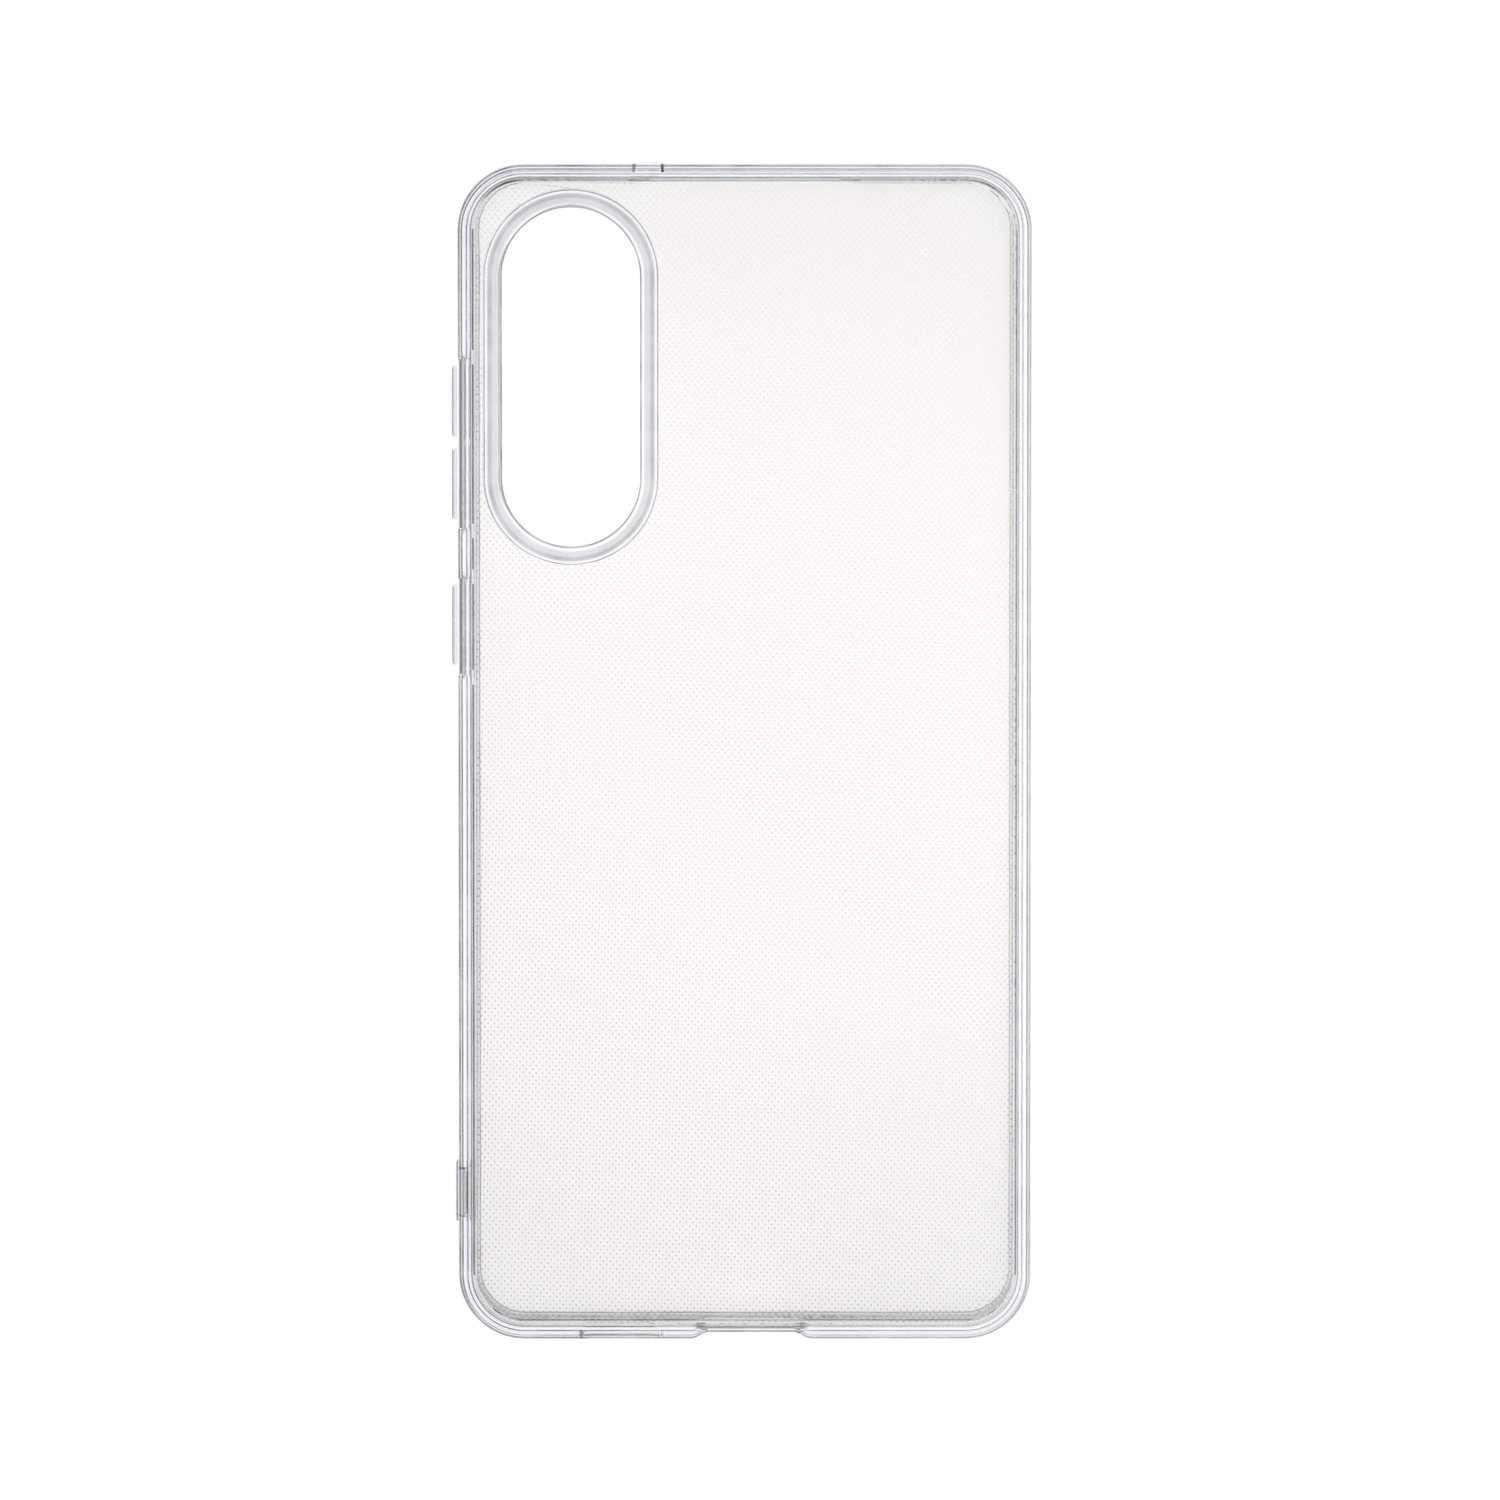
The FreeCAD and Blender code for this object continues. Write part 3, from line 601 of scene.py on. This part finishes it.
def make_strap_bar():
    """The bar across the strap window, with a rounded outer face."""
    middle = (BAR_LOW + BAR_HIGH) / 2
    half_a, half_b = (BAR_HIGH.y - BAR_LOW.y) / 2, (BAR_HIGH.z - BAR_LOW.z) / 2
    depth = BAR_HIGH.x - BAR_LOW.x
    rounding = 0.38 * MM
    soft = 0.1 * MM
    levels = [(0, -soft), (soft * 0.3, -soft * 0.3), (soft, 0)]
    for step in range(11):
        angle = math.radians(90 * step / 10)
        levels.append((depth - rounding * (1 - math.sin(angle)),
                       -rounding * (1 - math.cos(angle))))
    rings = []
    for reach, growth in levels:
        outline = rounded_outline(half_a + growth, half_b + growth, BAR_CORNER + growth)
        rings.append([Vector((BAR_HIGH.x - reach, middle.y + a, middle.z + b))
                      for a, b in outline])
    piece = stack_rings("strap_loop_bar", rings)
    mark_inward(piece, lambda place: place.x - BAR_LOW.x)
    shade(piece, 40)
    return piece


# ---------------------------------------------------------------- materials
def new_material(name):
    """A node material and its Principled shader."""
    material = bpy.data.materials.new(name)
    material.use_nodes = True
    return material, material.node_tree.nodes["Principled BSDF"]


def link(material, source, target):
    """Join an output socket to an input socket."""
    material.node_tree.links.new(source, target)


def node(material, kind, **settings):
    """A new node with some of its properties set."""
    result = material.node_tree.nodes.new(kind)
    for name, value in settings.items():
        setattr(result, name, value)
    return result


def add_absorption(material, colour, density):
    """Colour that deepens with the length of plastic that light crosses."""
    absorb = node(material, "ShaderNodeVolumeAbsorption")
    absorb.inputs["Color"].default_value = (*colour, 1)
    absorb.inputs["Density"].default_value = density
    output = material.node_tree.nodes["Material Output"]
    link(material, absorb.outputs["Volume"], output.inputs["Volume"])


def noise(material, place, scale, detail=2.0):
    """A noise texture's value output."""
    texture = node(material, "ShaderNodeTexNoise")
    texture.inputs["Scale"].default_value = scale
    texture.inputs["Detail"].default_value = detail
    link(material, place, texture.inputs["Vector"])
    return texture.outputs["Fac"]


def remap(material, value, from_low, from_high, to_low, to_high, smooth=False):
    """A value moved from one range to another."""
    result = node(material, "ShaderNodeMapRange")
    if smooth:
        result.interpolation_type = "SMOOTHSTEP"
    for name, number in (("From Min", from_low), ("From Max", from_high),
                         ("To Min", to_low), ("To Max", to_high)):
        result.inputs[name].default_value = number
    link(material, value, result.inputs["Value"])
    return result.outputs["Result"]


def arithmetic(material, operation, *values):
    """A Math node on sockets or numbers."""
    result = node(material, "ShaderNodeMath", operation=operation)
    for socket, value in zip(result.inputs, values):
        if isinstance(value, (int, float)):
            socket.default_value = value
        else:
            link(material, value, socket)
    return result.outputs["Value"]


def mix_colour(material, factor, first, second):
    """A colour between two, each a colour or a socket."""
    result = node(material, "ShaderNodeMix", data_type="RGBA")
    link(material, factor, result.inputs["Factor"])
    for socket, colour in ((result.inputs[6], first), (result.inputs[7], second)):
        if isinstance(colour, tuple):
            socket.default_value = (*colour, 1)
        else:
            link(material, colour, socket)
    return result.outputs[2]


def profile_ramp(material, stops, span):
    """Strength by distance in from the edge: stops are (millimetres, strength)."""
    inward = node(material, "ShaderNodeAttribute", attribute_name="inward")
    share = remap(material, inward.outputs["Fac"], 0, span * MM, 0, 1)
    ramp = node(material, "ShaderNodeValToRGB")
    elements = ramp.color_ramp.elements
    elements[0].position, elements[1].position = 0, 1
    elements[0].color = elements[1].color = (0, 0, 0, 1)
    for place, strength in stops:
        element = elements.new(min(place / span, 1))
        element.color = (strength, strength, strength, 1)
    link(material, share, ramp.inputs["Fac"])
    return ramp.outputs["Color"]


CLEAR_TINT = (0.985, 0.988, 0.995)
# The dark tint below is painted shade: the colour of the lines along the moulded edges.
PAINTED_SHADE_TINT = (0.05, 0.056, 0.075)
DEEP_TINT = (0.77, 0.79, 0.86)
SOFT_PLASTIC_IOR = 1.49
SHEET_IOR = 1.58
SATIN_ROUGHNESS = 0.15
SHADE_AND_SATIN_NOISE = 260
GRAIN_NOISE = 1400
DRIFT_NOISE = 45
POLISH_NOISE = 90
WAVINESS_NOISE = 160
WAVINESS_DEPTH = 0.06 * MM


def painted_shade_lines(material, height, stops, span, window):
    """Strength of painted shade lines, which also add satin roughness, from a profile, on surfaces
    whose height lies within the window.
    """
    middle = (window[0] + window[1]) / 2
    reach = (window[1] - window[0]) / 2
    inside = arithmetic(material, "COMPARE", height, middle, reach)
    return arithmetic(material, "MULTIPLY", profile_ramp(material, stops, span), inside)


def clear_soft_plastic(name, profiles, span, density=30, speckles=(), left_painted_shade=1):
    """Polished flexible clear plastic, with painted shade lines along its moulded edges: a dark
    tint for the edges' dark lines, with satin roughness.

    profiles are (stops, height window) pairs, whose stops are (millimetres in from the
    edge, strength). speckles is one more such pair, broken up into grains. left_painted_shade is
    how much darker than on the right the painted shade lines are on the left.
    """
    material, shader = new_material(name)
    shader.inputs["Transmission Weight"].default_value = 1.0
    shader.inputs["IOR"].default_value = SOFT_PLASTIC_IOR
    place = node(material, "ShaderNodeTexCoord").outputs["Object"]
    parts = node(material, "ShaderNodeSeparateXYZ")
    link(material, place, parts.inputs["Vector"])
    height = parts.outputs["Z"]
    # Painted shade: dark lines along the edges, which also raise the roughness.
    shade_and_satin = painted_shade_lines(material, height, profiles[0][0], span, profiles[0][1])
    for stops, window in profiles[1:]:
        shade_and_satin = arithmetic(material, "MAXIMUM", shade_and_satin,
                           painted_shade_lines(material, height, stops, span, window))
    unevenness = remap(material, noise(material, place, SHADE_AND_SATIN_NOISE, 3), 0.3, 0.7, 0.75, 1.0)
    # Painted shade: the lines grow darker from the right side towards the left.
    side_painted_shade = remap(material, parts.outputs["X"], -HALF_WIDTH, HALF_WIDTH, left_painted_shade, 1)
    shade_and_satin = arithmetic(material, "MULTIPLY", shade_and_satin, unevenness)
    shade_and_satin = arithmetic(material, "MULTIPLY", shade_and_satin, side_painted_shade)
    shade_and_satin = arithmetic(material, "MINIMUM", shade_and_satin, 1)
    if speckles:
        grains = remap(material, noise(material, place, GRAIN_NOISE, 1), 0.42, 0.62, 0, 1)
        drift = remap(material, noise(material, place, DRIFT_NOISE, 1), 0.35, 0.6, 0.15, 1)
        grains = arithmetic(material, "MULTIPLY", grains, drift)
        zone = painted_shade_lines(material, height, speckles[0], span, speckles[1])
        grains = arithmetic(material, "MULTIPLY", grains, zone)
        shade_and_satin = arithmetic(material, "MAXIMUM", shade_and_satin, grains)
        # Painted shade from the webs' ledges and the windows, stored on the mesh.
        painted_shade_marks = node(material, "ShaderNodeAttribute", attribute_name="painted_shade_marks")
        shade_and_satin = arithmetic(material, "ADD", shade_and_satin, painted_shade_marks.outputs["Fac"])
        shade_and_satin = arithmetic(material, "MAXIMUM", shade_and_satin, 0)
        shade_and_satin = arithmetic(material, "MINIMUM", shade_and_satin, 1)
    colour = mix_colour(material, shade_and_satin, CLEAR_TINT, PAINTED_SHADE_TINT)
    link(material, colour, shader.inputs["Base Color"])
    rough = remap(material, noise(material, place, POLISH_NOISE, 4), 0, 1, 0.01, 0.06)
    rough = arithmetic(material, "MULTIPLY_ADD", shade_and_satin, SATIN_ROUGHNESS, rough)
    link(material, rough, shader.inputs["Roughness"])
    bump = node(material, "ShaderNodeBump")
    bump.inputs["Strength"].default_value = 0.3
    bump.inputs["Distance"].default_value = WAVINESS_DEPTH
    link(material, noise(material, place, WAVINESS_NOISE, 1), bump.inputs["Height"])
    link(material, bump.outputs["Normal"], shader.inputs["Normal"])
    add_absorption(material, DEEP_TINT, density)
    return material


DOT_CELL = (0.92 * MM, 1.05 * MM)
DOT_RADIUS = 0.15 * MM
DOT_EDGE = 0.05 * MM
DOT_TURN = math.radians(1.5)
# Painted shade: the dots are at full strength at the bottom left and fade to 0.35 towards the top
# right.
DOT_PAINTED_SHADE_FADE = (-0.06, 0.08, 1, 0.35)
SHEET_TINT = (0.95, 0.928, 0.918)
DOT_TINT = (0.41, 0.37, 0.36)
SHEET_ROUGHNESS = 0.03
DOT_ROUGHNESS = 0.35


def vector_math(material, operation, source, *constants):
    """A Vector Math node on a socket and constant vectors."""
    result = node(material, "ShaderNodeVectorMath", operation=operation)
    link(material, source, result.inputs[0])
    for socket, constant in zip(list(result.inputs)[1:], constants):
        socket.default_value = constant
    return result.outputs["Value" if operation == "LENGTH" else "Vector"]


def dot_distance(material, place, shift):
    """Distance in metres to the nearest dot of one of the matrix's two lattices."""
    turn = node(material, "ShaderNodeVectorRotate", rotation_type="Z_AXIS")
    turn.inputs["Angle"].default_value = DOT_TURN
    link(material, place, turn.inputs["Vector"])
    cells = vector_math(material, "MULTIPLY_ADD", turn.outputs["Vector"],
                        (1 / DOT_CELL[0], 1 / DOT_CELL[1], 0), (shift, shift, 0))
    in_cell = vector_math(material, "FRACTION", cells)
    from_middle = vector_math(material, "SUBTRACT", in_cell, (0.5, 0.5, 0))
    metres = vector_math(material, "MULTIPLY", from_middle, (DOT_CELL[0], DOT_CELL[1], 0))
    return vector_math(material, "LENGTH", metres)


def clear_dotted_sheet():
    """Hard clear sheet, faintly warm, with the fine dot matrix on its inner face."""
    material, shader = new_material("clear_dotted_sheet")
    shader.inputs["Transmission Weight"].default_value = 1.0
    shader.inputs["IOR"].default_value = SHEET_IOR
    place = node(material, "ShaderNodeTexCoord").outputs["Object"]
    nearest = arithmetic(material, "MINIMUM", dot_distance(material, place, 0),
                         dot_distance(material, place, 0.5))
    dots = remap(material, nearest, DOT_RADIUS - DOT_EDGE, DOT_RADIUS + DOT_EDGE, 1, 0,
                 smooth=True)
    parts = node(material, "ShaderNodeSeparateXYZ")
    link(material, place, parts.inputs["Vector"])
    inner = arithmetic(material, "LESS_THAN", parts.outputs["Z"], POCKET_TOP + 0.1 * MM)
    diagonal = arithmetic(material, "ADD", parts.outputs["X"], parts.outputs["Y"])
    # Painted shade: the dots fade from the bottom left towards the top right.
    dot_shade_fade = remap(material, diagonal, *DOT_PAINTED_SHADE_FADE)
    mask = arithmetic(material, "MULTIPLY", arithmetic(material, "MULTIPLY", dots, dot_shade_fade), inner)
    colour = mix_colour(material, mask, SHEET_TINT, DOT_TINT)
    link(material, colour, shader.inputs["Base Color"])
    rough = remap(material, mask, 0, 1, SHEET_ROUGHNESS, DOT_ROUGHNESS)
    link(material, rough, shader.inputs["Roughness"])
    return material


def floor_material():
    """White diffusing sheet lit softly from below, a little brighter in its middle."""
    material, shader = new_material("light_table")
    shader.inputs["Base Color"].default_value = (0.9, 0.9, 0.9, 1)
    shader.inputs["Roughness"].default_value = 0.9
    shader.inputs["Specular IOR Level"].default_value = 0.1
    shader.inputs["Emission Color"].default_value = (1, 1, 1, 1)
    place = node(material, "ShaderNodeTexCoord").outputs["Object"]
    length = node(material, "ShaderNodeVectorMath", operation="LENGTH")
    link(material, place, length.inputs[0])
    glow = remap(material, length.outputs["Value"], *FLOOR_GLOW_REACH, FLOOR_GLOW,
                 FLOOR_GLOW - FLOOR_FALLOFF, smooth=True)
    link(material, glow, shader.inputs["Emission Strength"])
    return material


# ---------------------------------------------------------------- stage, light and camera
FLOOR_GLOW = 0.86
FLOOR_FALLOFF = 0.19
FLOOR_GLOW_REACH = (0.03, 0.13)
FLOOR_HALF_SIZE = 1.5
FLOOR_DROP = 0.1 * MM
HORIZON = (0.5, (1, 1, 1, 1))
OVERHEAD = (0.92, (0.1, 0.1, 0.11, 1))
SIDE_REACH = (-0.95, -0.1)
CAMERA_TILT = math.radians(4.46)
CAMERA_DISTANCE = 2.0
CAMERA_TARGET = Vector((0.74 * MM, -0.18 * MM, 0))
CAMERA_SENSOR = 36
CAMERA_LENS = 341.4
SKY_STRENGTH = 1.0
DARK_SIDE = 0.4
LIGHT_BOUNCES = 32


def make_floor():
    """A wide pale floor just under the rim."""
    size, height = FLOOR_HALF_SIZE, -FLOOR_DROP
    corners = [(-size, -size, height), (size, -size, height), (size, size, height),
               (-size, size, height)]
    floor = mesh_piece("floor", corners, [(0, 1, 2, 3)])
    floor.data.materials.append(floor_material())


def make_world():
    """A bright studio all round that darkens overhead and towards the left."""
    world = bpy.data.worlds.new("studio")
    bpy.context.scene.world = world
    world.use_nodes = True
    tree = world.node_tree
    background = tree.nodes["Background"]
    place = tree.nodes.new("ShaderNodeTexCoord")
    parts = tree.nodes.new("ShaderNodeSeparateXYZ")
    tree.links.new(place.outputs["Generated"], parts.inputs["Vector"])
    ramp = tree.nodes.new("ShaderNodeValToRGB")
    elements = ramp.color_ramp.elements
    elements[0].position, elements[0].color = HORIZON
    elements[1].position, elements[1].color = OVERHEAD
    tree.links.new(parts.outputs["Z"], ramp.inputs["Fac"])
    side = tree.nodes.new("ShaderNodeMapRange")
    side.interpolation_type = "SMOOTHSTEP"
    side.inputs["From Min"].default_value = SIDE_REACH[0]
    side.inputs["From Max"].default_value = SIDE_REACH[1]
    side.inputs["To Min"].default_value = DARK_SIDE
    tree.links.new(parts.outputs["X"], side.inputs["Value"])
    shaded = tree.nodes.new("ShaderNodeVectorMath")
    shaded.operation = "SCALE"
    tree.links.new(ramp.outputs["Color"], shaded.inputs[0])
    tree.links.new(side.outputs["Result"], shaded.inputs["Scale"])
    tree.links.new(shaded.outputs["Vector"], background.inputs["Color"])
    background.inputs["Strength"].default_value = SKY_STRENGTH


def make_camera():
    """Nearly straight down on the case's back, with the case's top end up."""
    camera = bpy.data.objects.new("camera", bpy.data.cameras.new("camera"))
    bpy.context.scene.collection.objects.link(camera)
    camera.data.sensor_width = CAMERA_SENSOR
    camera.data.lens = CAMERA_LENS
    camera.data.clip_start = 0.05
    camera.data.clip_end = 20
    from_target = Vector((0, math.sin(CAMERA_TILT), math.cos(CAMERA_TILT)))
    camera.location = CAMERA_TARGET + CAMERA_DISTANCE * from_target
    camera.rotation_euler = (-CAMERA_TILT, 0, 0)
    bpy.context.scene.camera = camera


# ---------------------------------------------------------------- put it together
def place_piece(piece, body, material, slot, *nodes):
    """Give a piece its material and body, and hide the CAD nodes it stands for. slot is not used.
    """
    piece.data.materials.clear()
    piece.data.materials.append(material)
    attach(piece, body)
    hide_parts(*nodes)


# Painted shade lines: strength of the dark tint, which also adds satin roughness, by millimetres
# in from each piece's edge.
SHOULDER_LINES = ((0.1, 0), (0.17, 0.85), (0.38, 0.85), (0.46, 0.05), (0.58, 0), (0.63, 0.8),
                  (0.74, 0.8), (0.79, 0), (1.26, 0), (1.32, 0.85), (1.44, 0.85), (1.5, 0))
LIP_LINES = ((1.74, 0), (1.82, 0.75), (1.96, 0.75), (2.02, 0.1), (2.2, 0.32), (2.62, 0.32),
             (2.7, 0.02), (2.88, 0.02), (2.93, 0.85))
SPECKLES = ((2.1, 0), (2.18, 0.7), (2.5, 0.7), (2.6, 0))
RING_LINES = ((0.02, 0), (0.05, 1), (0.24, 1), (0.32, 0), (0.55, 0), (0.75, 0.5), (1.3, 0.5),
              (1.65, 0.8), (1.95, 0.75), (2.12, 0.5), (2.22, 0), (2.36, 0), (2.45, 1), (2.59, 1),
              (2.63, 0))
PAD_LINES = ((0.001, 0.4), (0.03, 0.9), (0.2, 0.9), (0.3, 0.25), (0.6, 0.2), (0.8, 0.4),
             (0.9, 0.2))
BAR_LINES = ((0.001, 0.3), (0.1, 0.1), (0.35, 0.1), (0.45, 0.95), (0.62, 0.95), (0.7, 0.3))

SHOULDER = (BACK_FACE - BACK_ROUNDING, BACK_FACE - 0.005 * MM)
LIP = (-MM, POCKET_TOP)
RAISED = (BACK_FACE, RING_TOP + MM)
WHOLE_WALL = (-MM, BACK_FACE)
# The bumper's painted shade lines are 1.3 times darker on the left than on the right.
bumper_plastic = clear_soft_plastic("bumper_plastic",
                                    ((SHOULDER_LINES, SHOULDER), (LIP_LINES, LIP)), 3.3,
                                    speckles=(SPECKLES, LIP), left_painted_shade=1.3)
ring_plastic = clear_soft_plastic("ring_plastic", ((RING_LINES, RAISED),), 2.65, density=80)
pad_plastic = clear_soft_plastic("pad_plastic", ((PAD_LINES, WHOLE_WALL),), 1.5)
bar_plastic = clear_soft_plastic("bar_plastic", ((BAR_LINES, WHOLE_WALL),), 1.5)
place_piece(make_back_sheet(), "case", clear_dotted_sheet(), "clear_back", "back_plate")
place_piece(make_bumper(), "case", bumper_plastic, "clear_bumper", "bumper_frame", "screen_lip",
            "volume_button_web", "power_button_web")
place_piece(make_ring(), "case", ring_plastic, "clear_bumper", "camera_ring")
place_piece(make_strap_bar(), "case", bar_plastic, "clear_bumper", "strap_bar")
place_piece(make_pad("volume_up_button"), "volume_up_pad", pad_plastic, "clear_bumper",
            "volume_up_button")
place_piece(make_pad("volume_down_button"), "volume_down_pad", pad_plastic, "clear_bumper",
            "volume_down_button")
place_piece(make_pad("power_button"), "power_pad", pad_plastic, "clear_bumper", "power_button")

make_floor()
make_world()
make_camera()
bpy.context.scene.view_settings.view_transform = "Standard"
bpy.context.scene.cycles.max_bounces = LIGHT_BOUNCES
bpy.context.scene.cycles.glossy_bounces = LIGHT_BOUNCES
bpy.context.scene.cycles.transmission_bounces = LIGHT_BOUNCES
